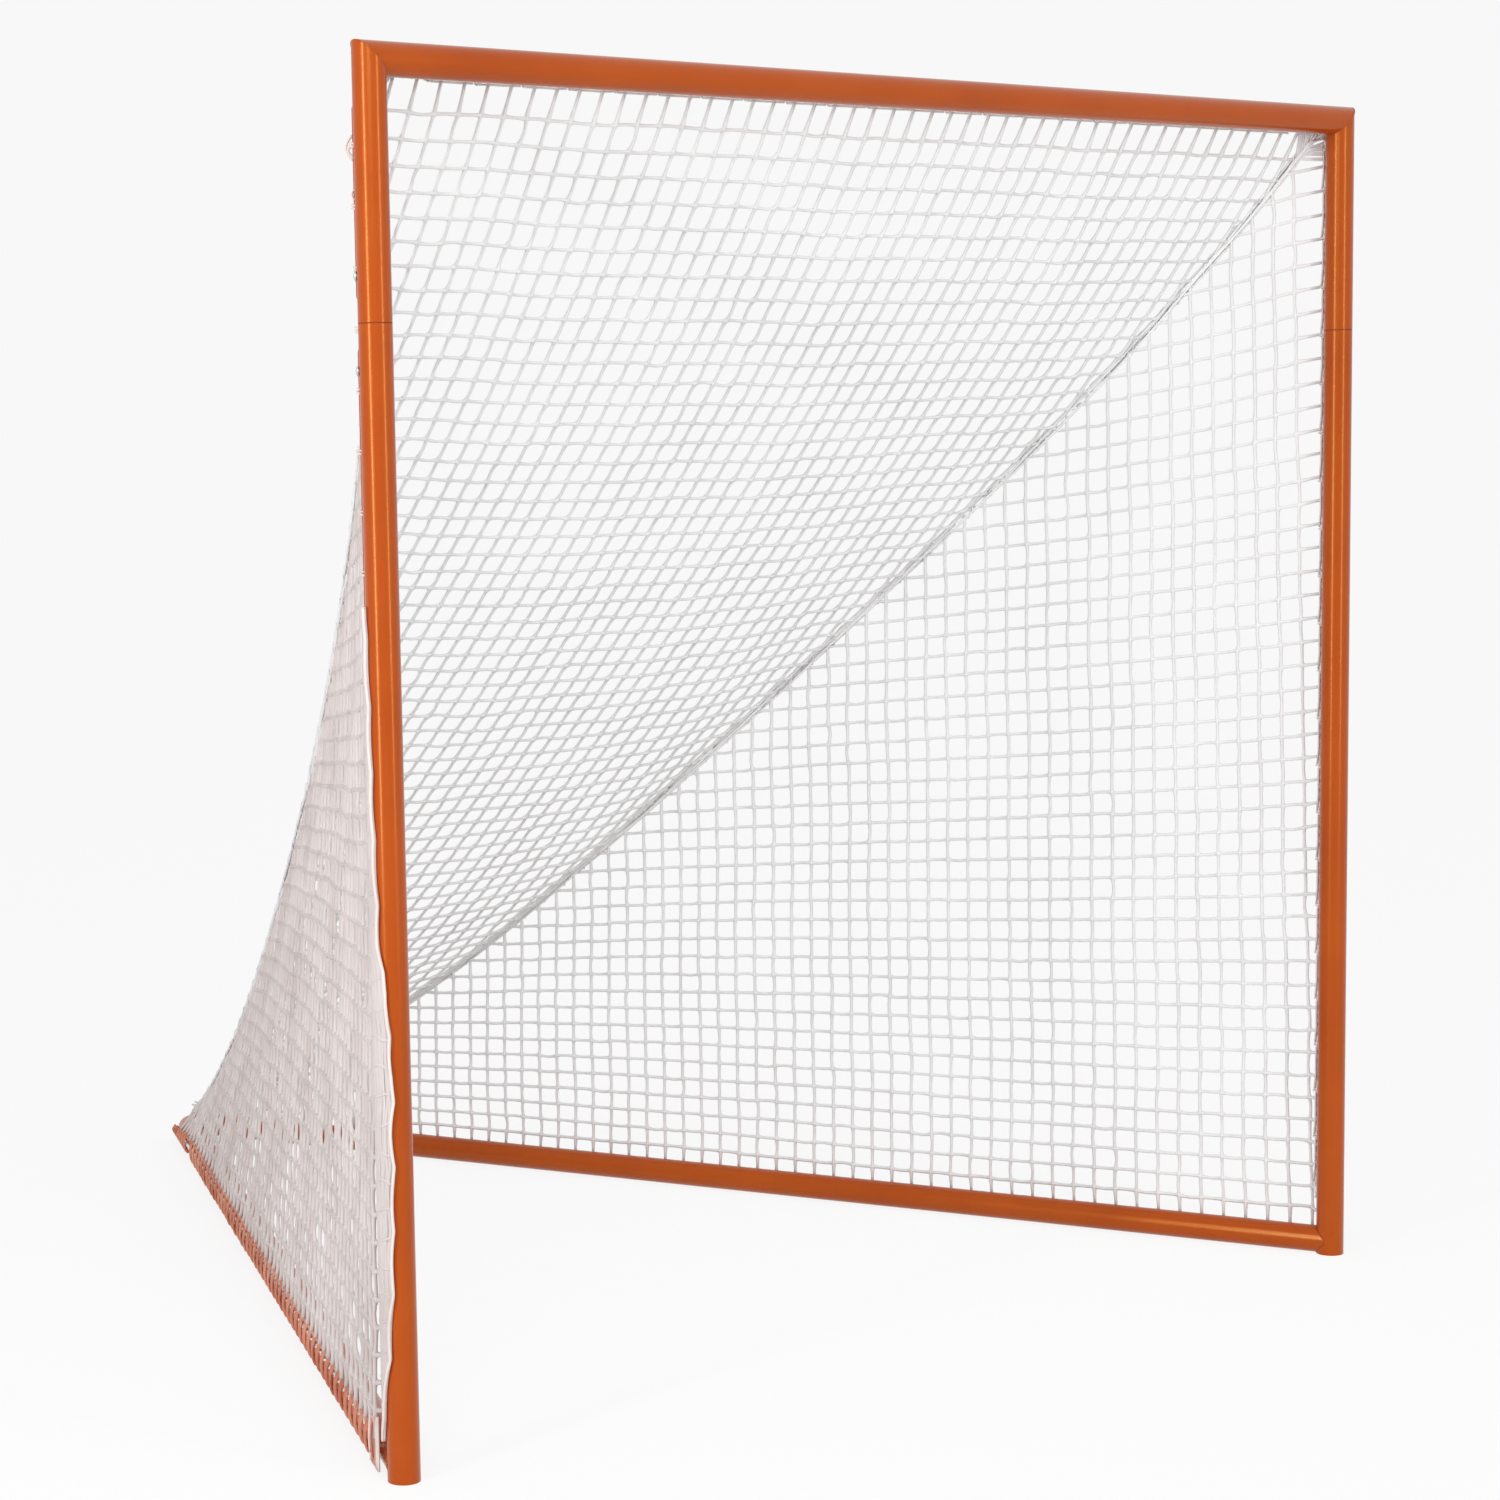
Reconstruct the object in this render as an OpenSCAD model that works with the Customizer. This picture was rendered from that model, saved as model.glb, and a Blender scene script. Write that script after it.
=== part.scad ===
// Field lacrosse goal: a welded tube frame that comes apart at the posts and behind,
// with a laced cord net. Millimetres, +Z up, +Y from the mouth towards the rear bend.
// The origin is the middle of the goal line, on the ground.

/* [Mouth] */
// Clear width between the posts
mouth_w = 1828.8; // [1500:0.1:2200]
// Clear height under the crossbar
mouth_h = 1828.8; // [1650:0.1:2200]
// Depth over all, from the front of the posts to the back of the rear bend
depth = 2133.6; // [1800:0.1:2500]

/* [Frame tube] */
// Outside diameter of the frame tube
tube_d = 44.45; // [40:0.05:52]
// Wall of the frame tube
tube_wall = 2.1; // [1.6:0.1:3]
// Height of the joint in each post
seam_h = 1520; // [1300:1:1560]
// Radius of the rear bend on its inner side
bend_inner_r = 8; // [5:1:40]
// Straight leg of the rear bend, before each rail
bend_leg = 250; // [180:1:320]

/* [Tube joints] */
// Chamfer of the tube ends at the joints
joint_chamfer = 0.8; // [0.2:0.1:1.5]
// Gap between the coped end of each base rail and its post
weld_gap = 0.1; // [0.05:0.05:0.3]
// Length of the inner sleeve in each post joint
post_sleeve_len = 240; // [180:1:300]
// Length of the inner sleeve in each rear joint
rear_sleeve_len = 160; // [120:1:240]
// Wall of the inner sleeves
sleeve_wall = 2.5; // [2:0.1:4]
// Play between a sleeve and the tube around it, on the radius
sleeve_play = 0.2; // [0.1:0.05:0.5]
// Shank diameter of the joint screws
screw_d = 8; // [6:1:10]
// Length of the joint screws under the head
screw_len = 12; // [9:1:16]
// Play of a screw in the tube's hole, on the radius
screw_play = 0.3; // [0.2:0.05:0.5]

/* [Lacing bars] */
// Diameter of the lacing bars
bar_d = 6.35; // [5:0.05:8]
// Clear gap between a frame tube and its lacing bar
bar_gap = 5; // [4:0.1:12]
// Diameter of the pegs that hold the bars
peg_d = 5; // [4:0.5:8]
// How far under the level of its tube's axis the crossbar's lacing bar is turned
bar_turn = 20; // [0:1:45]
// How far out from straight behind each post its lacing bars are turned
post_bar_turn = 8; // [0:1:30]

/* [Net] */
// Knot to knot size of the net's mesh
mesh = 38.1; // [30:0.1:45]
// Meshes that one modelled gap stands for
mesh_per_gap = 5; // [5:1:7]
// Meshes that one turn of the lacing takes
mesh_per_turn = 2; // [2:1:3]
// Width of the net's strands
strand_w = 5; // [3:0.5:8]
// Diameter of the gathered ridge cords
ridge_d = 12; // [8:0.5:18]
// Diameter of the cords along the net's edges
edge_d = 7; // [5:0.5:9]
// Diameter of the lacing
lace_d = 3; // [2:0.5:4]
// How far each ridge is drawn in at its middle
ridge_draw = 65; // [20:1:90]
// How much of the drawing in lies towards the front
draw_skew = 0.9; // [0:0.05:1]
// How far each ridge hangs under a straight line, square to it
ridge_sag = 137; // [40:1:160]
// How much of the hang lies towards the rear
ridge_skew = 0.45; // [0:0.05:0.6]
// How much fuller than an arc the hang is towards its ends
ridge_full = 0.55; // [0:0.05:0.7]
// How far the back of the net hangs between its ridges
back_sag = 25; // [0:1:60]

/* [Hidden] */

$fn = 64;
frame_colour = [0.80, 0.36, 0.11];
steel_colour = [0.62, 0.63, 0.65];
net_colour = [0.95, 0.95, 0.94];
lace_colour = [0.93, 0.88, 0.86];
eps = 0.01;
snug = 0.3; // clearance between soft pieces and what they lie on

tube_r = tube_d / 2;
bore_r = tube_r - tube_wall;
post_x = mouth_w / 2 + tube_r;
bar_z = mouth_h + tube_r;
rail_z = tube_r;

// The rear bend is an arc that both rails meet on a tangent.
bend_r = tube_r + bend_inner_r;
bend_y = depth - tube_d - bend_r;
foot_to_bend = norm([post_x, bend_y]);
bend_lap = 2;
bend_thin = 0.05;
rail_turn = atan2(post_x, bend_y) - asin(bend_r / foot_to_bend);
rail_len = sqrt(pow(foot_to_bend, 2) - pow(bend_r, 2));
rear_joint_s = rail_len - bend_leg;
apex_y = bend_y + bend_r;

// Screws and sleeves of the tube joints
sleeve_r = bore_r - sleeve_play;
head_r = 0.9 * screw_d;
head_h = 0.55 * screw_d;
flat_depth = tube_r - sqrt(pow(tube_r, 2) - pow(head_r, 2)); // head on the round tube
screw_seat = tube_r - flat_depth + 0.2;

// Lacing bars
bar_r = bar_d / 2;
bar_off = tube_r + bar_gap + bar_r;
rod_bend = 2 * bar_r; // bend radius of the bars' ends, to the middle
corner_clear = 1.5 * tube_d; // free length that the bars leave at a corner
seam_clear = 30; // free length that the bars leave at a tube joint
most_turns = 24;
function turns_in(len) = min(most_turns, floor(len / (mesh_per_turn * mesh) / 2) * 2);
crossbar_run = mouth_w - 2 * corner_clear;
post_start = 2 * tube_d;
post_run = mouth_h - corner_clear / 2 - post_start;
rail_start = corner_clear;
rail_run = rear_joint_s - seam_clear - rail_start;
rear_start = rear_joint_s + seam_clear;
rear_run = rail_len - seam_clear / 2 - rear_start;
upper_bar_start = seam_h + seam_clear;
lower_bar_end = seam_h - seam_clear;
turns_per_peg = 4;
gap_size = mesh_per_gap * mesh;

// Edge cords lie against the bars, on the net's side.
edge_r = edge_d / 2;
cord_step = bar_r + edge_r + snug;
lace_out = lace_d / 2 + snug;
slope = atan2(mouth_h, depth); // fall of the net's back
top_bar = [0, bar_off * cos(bar_turn), bar_z - bar_off * sin(bar_turn)];
top_cord = top_bar + cord_step * [0, cos(slope), -sin(slope)];
// The posts' edge cords lie inside their bars and a little in front. Across the post, the first
// number is the distance behind its axis, and the second the distance inwards, both turned with the bars.
post_cord_turn = 27;
post_cord = [bar_off, 0] + cord_step * [-sin(post_cord_turn), cos(post_cord_turn)];

// Ridges run from behind the top corners to the top of the rear bend.
ridge_r = ridge_d / 2;
ridge_top = [post_x - tube_r, top_cord[1] + edge_r, top_cord[2] - ridge_r - edge_r - snug];
ridge_end = [ridge_r + snug, apex_y - 4, 2 * tube_r + ridge_r + snug];
ridge_way = (ridge_end - ridge_top) / norm(ridge_end - ridge_top);
draw_way = [-ridge_way[1], ridge_way[0], 0] / norm([ridge_way[0], ridge_way[1]]);
sag_way = cross(draw_way, ridge_way);

function mirror_x(p, side) = [side * p[0], p[1], p[2]];
function mix(a, b, k) = a + (b - a) * k;
function hang(t) = 4 * t * (1 - t);
// Point on the ridge of one side, t from 0 at the top corner to 1 at the rear bend
function ridge(t, side) =
    let (draw = ridge_draw * hang(t) * (1 - draw_skew * (t - 0.5)),
         sag = ridge_sag * hang(t) * (1 + ridge_skew * (t - 0.5) + ridge_full * (1 - hang(t))))
    mirror_x(mix(ridge_top, ridge_end, t) + draw_way * draw + sag_way * sag, side);

// ---- frame ----

// Puts a child on a side of the goal: it is drawn for the right side, +X.
module on_side(side) {
    if (side > 0) children();
    else mirror([1, 0, 0]) children();
}

// Frame along a rail: +X runs from the foot to the rear, +Y points inwards.
module along_rail() {
    translate([post_x, 0, rail_z]) rotate([0, 0, 90 + rail_turn]) children();
}

// Block under the 45 degree plane that holds the Y axis, z < x
module under_mitre(reach) {
    rotate([0, -45, 0]) translate([-reach, -reach, -2 * reach]) cube(2 * reach);
}

// Block over the same plane
module over_mitre(reach) {
    rotate([0, -45, 0]) translate([-reach, -reach, 0]) cube(2 * reach);
}

module tube(len) {
    difference() {
        cylinder(r = tube_r, h = len);
        translate([0, 0, -1]) cylinder(r = bore_r, h = len + 2);
    }
}

// Cuts the chamfer of a tube's end that lies at the origin and looks towards +Z.
module end_chamfer() {
    difference() {
        translate([0, 0, -joint_chamfer]) cylinder(r = tube_d, h = tube_d);
        translate([0, 0, -tube_d])
            cylinder(r1 = tube_r + tube_d - joint_chamfer, r2 = tube_r - joint_chamfer, h = tube_d);
    }
}

module sleeve(len) {
    difference() {
        translate([0, 0, -len / 2]) cylinder(r = sleeve_r, h = len);
        translate([0, 0, -len / 2 - 1]) cylinder(r = sleeve_r - sleeve_wall, h = len + 2);
    }
}

// Places children at both screws of a sleeve that is centred on the origin, pointing along +X.
module screw_places(len) {
    for (k = [-1, 1]) translate([0, 0, k * len / 4]) rotate([0, 90, 0]) children();
}

module screw_holes(len, r) {
    screw_places(len) cylinder(r = r, h = 2 * tube_r, $fn = 32);
}

module screws(len) {
    screw_places(len) {
        translate([0, 0, screw_seat + flat_depth - screw_len]) cylinder(d = screw_d, h = screw_len, $fn = 32);
        translate([0, 0, screw_seat + flat_depth]) intersection() {
            cylinder(r = head_r, h = head_h, $fn = 48);
            translate([0, 0, head_h - head_r * 1.6]) sphere(r = head_r * 1.6, $fn = 64);
        }
    }
}

// Screws of the post joints face outwards and back, those of the rear joints face inwards.
module at_post_joint() {
    translate([post_x, 0, seam_h]) rotate([0, 0, 45]) children();
}

module at_rear_joint() {
    along_rail() translate([rear_joint_s, 0, 0]) rotate([0, 90, 0]) rotate([0, 0, 90]) children();
}

module crossbar() {
    reach = 2 * tube_d;
    color(frame_colour) difference() {
        translate([-post_x - tube_r, 0, bar_z]) rotate([0, 90, 0]) tube(2 * (post_x + tube_r));
        for (side = [-1, 1]) on_side(side) translate([post_x, 0, bar_z]) under_mitre(reach);
    }
}

module corner_stub(side) {
    color(frame_colour) on_side(side) difference() {
        translate([post_x, 0, seam_h]) tube(bar_z + tube_r - seam_h);
        translate([post_x, 0, bar_z]) over_mitre(2 * tube_d);
        translate([post_x, 0, seam_h]) mirror([0, 0, 1]) end_chamfer();
        at_post_joint() screw_holes(post_sleeve_len, screw_d / 2 + screw_play);
    }
}

module post(side) {
    color(frame_colour) on_side(side) difference() {
        translate([post_x, 0, 0]) tube(seam_h);
        translate([post_x, 0, seam_h]) end_chamfer();
        at_post_joint() screw_holes(post_sleeve_len, screw_d / 2 + screw_play);
    }
}

module base_rail(side) {
    color(frame_colour) on_side(side) difference() {
        along_rail() rotate([0, 90, 0]) tube(rear_joint_s);
        translate([post_x, 0, -tube_d]) cylinder(r = tube_r + weld_gap, h = 3 * tube_d);
        at_rear_joint() end_chamfer();
        at_rear_joint() screw_holes(rear_sleeve_len, screw_d / 2 + screw_play);
    }
}

// Bend of a round bar that starts at +X of its centre. It laps a little into the straight
// lengths at its ends, and is a hair thinner than they are, so that the lengths join cleanly.
module bend(centre_r, r, angle) {
    rotate([0, 0, -bend_lap]) rotate_extrude(angle = angle + 2 * bend_lap, $fn = 96)
        translate([centre_r, 0]) circle(r = r - bend_thin, $fn = 64);
}

// Rear bend with both its legs, as a solid of radius r
module bend_form(r, spare) {
    translate([0, bend_y, rail_z]) rotate([0, 0, rail_turn]) bend(bend_r, r, 180 - 2 * rail_turn);
    for (side = [-1, 1]) on_side(side)
        along_rail() translate([rear_joint_s - spare, 0, 0]) rotate([0, 90, 0])
            cylinder(r = r, h = bend_leg + spare);
}

module rear_bend() {
    color(frame_colour) difference() {
        bend_form(tube_r, 0);
        bend_form(bore_r, 1);
        for (side = [-1, 1]) on_side(side) at_rear_joint() {
            mirror([0, 0, 1]) end_chamfer();
            screw_holes(rear_sleeve_len, screw_d / 2 + screw_play);
        }
    }
}

module post_sleeve(side) {
    color(steel_colour) on_side(side) at_post_joint() difference() {
        sleeve(post_sleeve_len);
        screw_holes(post_sleeve_len, screw_d / 2);
    }
}

module rear_sleeve(side) {
    color(steel_colour) on_side(side) at_rear_joint() difference() {
        sleeve(rear_sleeve_len);
        screw_holes(rear_sleeve_len, screw_d / 2);
    }
}

module post_joint_screws() {
    color(steel_colour) for (side = [-1, 1]) on_side(side) at_post_joint() screws(post_sleeve_len);
}

module rear_joint_screws() {
    color(steel_colour) for (side = [-1, 1]) on_side(side) at_rear_joint() screws(rear_sleeve_len);
}

// ---- lacing bars ----

// A bar along +X beside a tube whose axis is the X axis: the bar lies on +Y, its ends are bent in.
module lacing_bar(from, len) {
    translate([from + rod_bend, bar_off, 0]) rotate([0, 90, 0])
        cylinder(r = bar_r, h = len - 2 * rod_bend, $fn = 32);
    bar_end(from, 0);
    bar_end(from + len, 1);
}

module bar_end(x, far) {
    translate([x, 0, 0]) mirror([far, 0, 0]) {
        translate([rod_bend, bar_off - rod_bend, 0]) rotate([0, 0, 90]) bend(rod_bend, bar_r, 90);
        difference() {
            rotate([-90, 0, 0]) cylinder(r = bar_r, h = bar_off - rod_bend, $fn = 32);
            rotate([0, 90, 0]) translate([0, 0, -tube_r]) cylinder(r = tube_r, h = tube_d);
        }
    }
}

// Pegs between a tube and its bar, one to every few turns of the lacing, as far as the bar goes
module bar_pegs(from, run, len) {
    step = turns_per_peg * run / turns_in(run);
    for (x = [from + step : step : from + len - step / 2])
        translate([x, 0, 0]) difference() {
            rotate([-90, 0, 0]) cylinder(d = peg_d, h = bar_off, $fn = 32);
            rotate([0, 90, 0]) translate([0, 0, -peg_d]) cylinder(r = tube_r, h = 2 * peg_d);
            translate([-peg_d, bar_off, 0]) rotate([0, 90, 0]) cylinder(r = bar_r, h = 2 * peg_d, $fn = 32);
        }
}

module along_crossbar() {
    translate([0, 0, bar_z]) rotate([-bar_turn, 0, 0]) children();
}

module along_post() {
    translate([post_x, 0, 0]) rotate([0, 0, -post_bar_turn]) rotate([0, -90, 0]) children();
}

module outside_rail() {
    along_rail() rotate([180, 0, 0]) children();
}

module crossbar_lacing_bar() {
    color(frame_colour) along_crossbar() lacing_bar(-crossbar_run / 2, crossbar_run);
}

module upper_lacing_bar(side) {
    color(frame_colour) on_side(side) along_post()
        lacing_bar(upper_bar_start, post_start + post_run - upper_bar_start);
}

module lower_lacing_bar(side) {
    color(frame_colour) on_side(side) along_post() lacing_bar(post_start, lower_bar_end - post_start);
}

module rail_lacing_bar(side) {
    color(frame_colour) on_side(side) outside_rail() lacing_bar(rail_start, rail_run);
}

module rear_lacing_bars() {
    color(frame_colour) for (side = [-1, 1]) on_side(side) outside_rail() lacing_bar(rear_start, rear_run);
}

module crossbar_pegs() {
    color(frame_colour) along_crossbar() bar_pegs(-crossbar_run / 2, crossbar_run, crossbar_run);
}

module post_pegs(side) {
    color(frame_colour) on_side(side) along_post()
        bar_pegs(post_start, post_run, lower_bar_end - post_start);
}

module rail_pegs(side) {
    color(frame_colour) on_side(side) outside_rail() bar_pegs(rail_start, rail_run, rail_run);
}

// ---- soft pieces ----

// Ring of a tube around a point, square to the way it runs
function ring(centre, way, up, r, sides) =
    let (t = way / norm(way), s0 = cross(t, up), s = s0 / norm(s0), n = cross(s, t))
    [for (k = [0 : sides - 1]) centre + r * (s * cos(360 * k / sides) + n * sin(360 * k / sides))];

// Closed tube along a list of points
module cord(path, r, sides, up) {
    last = len(path) - 1;
    rings = [for (k = [0 : last])
        ring(path[k], path[min(k + 1, last)] - path[max(k - 1, 0)], up, r, sides)];
    points = [for (one = rings) each one];
    walls = [for (k = [0 : last - 1], j = [0 : sides - 1])
        let (a = k * sides + j, b = k * sides + (j + 1) % sides)
        each [[a, a + sides, b + sides], [a, b + sides, b]]];
    first_cap = [for (j = [1 : sides - 2]) [0, j, j + 1]];
    last_cap = [for (j = [1 : sides - 2]) [last * sides, last * sides + j + 1, last * sides + j]];
    polyhedron(points = points, faces = concat(walls, first_cap, last_cap));
}

// A block between two four-cornered faces
module block(a, b) {
    polyhedron(points = concat(a, b), faces = [
        [0, 2, 1], [0, 3, 2], [4, 5, 6], [4, 6, 7],
        [0, 1, 5], [0, 5, 4], [1, 2, 6], [1, 6, 5],
        [2, 3, 7], [2, 7, 6], [3, 0, 4], [3, 4, 7]]);
}

// Four corners of a strand's cut face: c is its middle, a and b its two half widths
function face(c, a, b) = [c - a - b, c + a - b, c + a + b, c - a + b];

// A net on a curved surface. rows[j][i] are its knots, or undef where there is none, and
// the arms are loose strand ends: [knot, way, end point], way 0 to 3 for -row, +row, -column, +column.
// row_way and col_way are the strands' directions, half of a strand wide, and out is its half thickness.
module net(rows, arms, row_way, col_way, out) {
    for (j = [0 : len(rows) - 1], i = [0 : len(rows[j]) - 1]) {
        p = rows[j][i];
        if (p != undef) {
            block(face(p - row_way, col_way, out), face(p + row_way, col_way, out));
            q = rows[j][i + 1];
            if (q != undef) block(face(p + row_way, col_way, out), face(q - row_way, col_way, out));
            s = j + 1 < len(rows) ? rows[j + 1][i] : undef;
            if (s != undef) block(face(p + col_way, out, row_way), face(s - col_way, out, row_way));
        }
    }
    for (arm = arms) {
        p = arm[0];
        end = arm[2];
        if (arm[1] == 0) block(face(end, col_way, out), face(p - row_way, col_way, out));
        if (arm[1] == 1) block(face(p + row_way, col_way, out), face(end, col_way, out));
        if (arm[1] == 2) block(face(end, out, row_way), face(p - col_way, out, row_way));
        if (arm[1] == 3) block(face(p + col_way, out, row_way), face(end, out, row_way));
    }
}

half_strand = strand_w / 2;
half_thick = 2;
// Shortest stretch between a knot and an edge that still gets its own strand end
least_arm = 0.3 * gap_size;

// Point a little before b on the way from a, clear of a cord of radius r there
function short_of(a, b, r) =
    let (way = b - a, length = norm(way)) b - way / length * (r + half_thick + snug);

// Back of the net: x is measured at the crossbar, t runs down the slope
half_top = ridge_top[0];
back_len = norm(ridge_end - [0, ridge_top[1], ridge_top[2]]);
function back_point(x, t) =
    let (u = x / (half_top * (1 - t) + ridge_end[0] * t),
         row = mix(ridge(t, -1), ridge(t, 1), (u + 1) / 2))
    row - [0, 0, back_sag * hang(t) * (1 - u * u)];
back_cols = floor((half_top - least_arm) / gap_size);
back_rows = floor(back_len * (1 - least_arm / half_top) / gap_size);
function back_t(j) = j * gap_size / back_len;
function back_reach(t) = half_top * (1 - t) + ridge_end[0] * t;
function back_has(i, j) = abs(i) * gap_size <= back_reach(back_t(j)) - least_arm;
function back_knot(i, j) = back_has(i, j) ? back_point(i * gap_size, back_t(j)) : undef;
// Where a column runs into the ridge
function back_col_end(i) = (half_top - abs(i) * gap_size) / (half_top - ridge_end[0]);
function back_row_end(j) =
    floor((back_reach(back_t(j)) - least_arm) / gap_size);
function back_col_last(i) =
    floor(back_col_end(i) * back_len * (1 - least_arm / (half_top - abs(i) * gap_size + eps)) / gap_size);

module net_back_panel() {
    rows = [for (j = [1 : back_rows]) [for (i = [-back_cols : back_cols]) back_knot(i, j)]];
    col_way = [0, cos(slope), -sin(slope)];
    top_arms = [for (i = [-back_cols : back_cols])
        let (p = back_point(i * gap_size, back_t(1)), e = [p[0], top_cord[1], top_cord[2]])
        if (back_has(i, 1)) [p, 2, short_of(p, e, edge_r)]];
    side_arms = [for (j = [1 : back_rows], side = [-1, 1])
        let (n = back_row_end(j), p = back_point(side * n * gap_size, back_t(j)))
        [p, side < 0 ? 0 : 1, short_of(p, ridge(back_t(j), side), ridge_r)]];
    low_arms = [for (i = [-back_cols : back_cols])
        let (n = max([for (j = [1 : back_rows]) back_has(i, j) ? j : 0]))
        if (n > 0 && abs(i) > 0)
            let (p = back_point(i * gap_size, back_t(n)), e = ridge(back_col_end(i), i < 0 ? -1 : 1))
            if ((back_col_end(i) - back_t(n)) * back_len > least_arm) [p, 3, short_of(p, e, ridge_r)]];
    color(net_colour)
        net(rows, concat(top_arms, side_arms, low_arms), [half_strand, 0, 0], col_way * half_strand,
            [0, sin(slope), cos(slope)] * half_thick);
}

// Sides of the net: s is measured along the rail, w runs up each column from 0 to 1.
rail_way = [-sin(rail_turn), cos(rail_turn), 0];
rail_out = [cos(rail_turn), sin(rail_turn), 0];
foot = [post_x, 0, rail_z];
base_up = cord_step;
function base_point(s) = foot + rail_way * s + rail_out * bar_off + [0, 0, base_up];
side_start = [post_x + post_cord[0] * sin(post_bar_turn) - post_cord[1] * cos(post_bar_turn),
              post_cord[0] * cos(post_bar_turn) + post_cord[1] * sin(post_bar_turn), 0];
side_len = rail_len;
function column_top(s) = ridge(s / side_len, 1);
function side_point(s, z) =
    let (full = (ridge_top[2] - base_point(0)[2]) * (1 - s / side_len))
    mix(base_point(s), column_top(s), z / full);
side_cols = floor((side_len * (1 - least_arm / mouth_h) - bend_leg) / gap_size);
side_rows = floor((mouth_h - least_arm) / gap_size);
function side_height(s) = (ridge_top[2] - base_point(0)[2]) * (1 - s / side_len);
function side_has(i, j) = j * gap_size <= side_height(i * gap_size) - least_arm;
function side_knot(i, j) = side_has(i, j) ? side_point(i * gap_size, j * gap_size) : undef;

module net_side_panel(side) {
    rows = [for (j = [1 : side_rows]) [for (i = [1 : side_cols]) side_knot(i, j)]];
    low_arms = [for (i = [1 : side_cols]) if (side_has(i, 1))
        let (p = side_knot(i, 1)) [p, 2, short_of(p, base_point(i * gap_size), edge_r)]];
    post_arms = [for (j = [1 : side_rows]) if (side_has(1, j))
        let (p = side_knot(1, j), e = side_start + [0, 0, base_point(0)[2] + j * gap_size])
        [p, 0, short_of(p, e, edge_r)]];
    top_arms = [for (i = [1 : side_cols])
        let (n = max([for (j = [1 : side_rows]) side_has(i, j) ? j : 0]))
        if (n > 0)
            let (p = side_knot(i, n)) [p, 3, short_of(p, column_top(i * gap_size), ridge_r)]];
    ridge_arms = [for (j = [1 : side_rows])
        let (n = max([for (i = [1 : side_cols]) side_has(i, j) ? i : 0]),
             s = side_len * (1 - j * gap_size / (ridge_top[2] - base_point(0)[2])))
        if (n > 0 && s - n * gap_size > least_arm)
            let (p = side_knot(n, j)) [p, 1, short_of(p, column_top(s), ridge_r)]];
    color(net_colour) on_side(side)
        net(rows, concat(low_arms, post_arms, top_arms, ridge_arms),
            rail_way * half_strand, [0, 0, half_strand], rail_out * half_thick);
}

module ridge_cord(side) {
    steps = 12;
    color(net_colour)
        cord([for (k = [0 : steps]) ridge(k / steps, side)], ridge_r, 8, [0, 0, 1]);
}

module top_edge_cord() {
    color(net_colour) translate([-half_top, top_cord[1], top_cord[2]]) rotate([0, 90, 0])
        cylinder(r = edge_r, h = 2 * half_top, $fn = 32);
}

module post_edge_cord(side) {
    color(net_colour) on_side(side) translate(side_start + [0, 0, post_start])
        cylinder(r = edge_r, h = ridge_top[2] - post_start, $fn = 32);
}

module base_edge_cord(side) {
    color(net_colour) on_side(side) along_rail()
        translate([rail_start, -bar_off, cord_step]) rotate([0, 90, 0])
            cylinder(r = edge_r, h = rear_start + rear_run - rail_start, $fn = 32);
}

// Lacing around a bar and the cord beside it, in square turns along +X. near and far are the
// middles of the bar and of the cord in the YZ plane, and hand is -1 for turns the other way round.
function lace_corner(k, near, far, hand) =
    let (way = (far - near) / norm(far - near), side = hand * [-way[1], way[0]], wide = bar_r + lace_out)
    k == 0 ? far + way * (edge_r + lace_out) + side * wide :
    k == 1 ? far + way * (edge_r + lace_out) - side * wide :
    k == 2 ? near - way * (bar_r + lace_out) - side * wide :
             near - way * (bar_r + lace_out) + side * wide;

function lace_path(from, run, near, far, hand) =
    let (turns = turns_in(run), pitch = run / turns)
    [for (k = [0 : 4 * turns - 1])
        let (c = lace_corner(k % 4, near, far, hand)) [from + (k / 4 + 1 / 8) * pitch, c[0], c[1]]];

// Least gap between the turns of a lacing: points a turn or so apart
function least_gap(path) =
    min([for (k = [0 : len(path) - 4], j = [k + 3 : min(k + 8, len(path) - 1)])
        norm(path[j] - path[k])]) - lace_d;

module lace(name, from, run, near, far, hand = 1) {
    path = lace_path(from, run, near, far, hand);
    echo(str(name, ": least gap between turns, mm: "), least_gap(path));
    color(lace_colour) cord(path, lace_d / 2, 3, [0, 0, 1]);
}

module crossbar_lace() {
    turn = slope - bar_turn;
    near = [bar_off, 0];
    along_crossbar()
        lace("crossbar", -crossbar_run / 2, crossbar_run, near, near + cord_step * [cos(turn), -sin(turn)]);
}

module post_lace(side) {
    on_side(side) along_post() lace("post", post_start, post_run, [bar_off, 0], post_cord, -1);
}

module rail_lace(side) {
    on_side(side) along_rail() lace("rail", rail_start, rail_run, [-bar_off, 0], [-bar_off, cord_step]);
}

crossbar();
corner_stub(-1);  // left_corner_stub
corner_stub(1);  // right_corner_stub
post(-1);  // left_post
post(1);  // right_post
post_sleeve(-1);  // left_post_sleeve
post_sleeve(1);  // right_post_sleeve
post_joint_screws();
base_rail(-1);  // left_base_rail
base_rail(1);  // right_base_rail
rear_bend();
rear_sleeve(-1);  // left_rear_sleeve
rear_sleeve(1);  // right_rear_sleeve
rear_joint_screws();
crossbar_lacing_bar();
upper_lacing_bar(-1);  // left_upper_lacing_bar
upper_lacing_bar(1);  // right_upper_lacing_bar
lower_lacing_bar(-1);  // left_lower_lacing_bar
lower_lacing_bar(1);  // right_lower_lacing_bar
rail_lacing_bar(-1);  // left_rail_lacing_bar
rail_lacing_bar(1);  // right_rail_lacing_bar
rear_lacing_bars();
crossbar_pegs();
post_pegs(-1);  // left_post_pegs
post_pegs(1);  // right_post_pegs
rail_pegs(-1);  // left_rail_pegs
rail_pegs(1);  // right_rail_pegs
net_back_panel();
net_side_panel(-1);  // net_left_panel
net_side_panel(1);  // net_right_panel
ridge_cord(-1);  // left_ridge_cord
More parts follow.
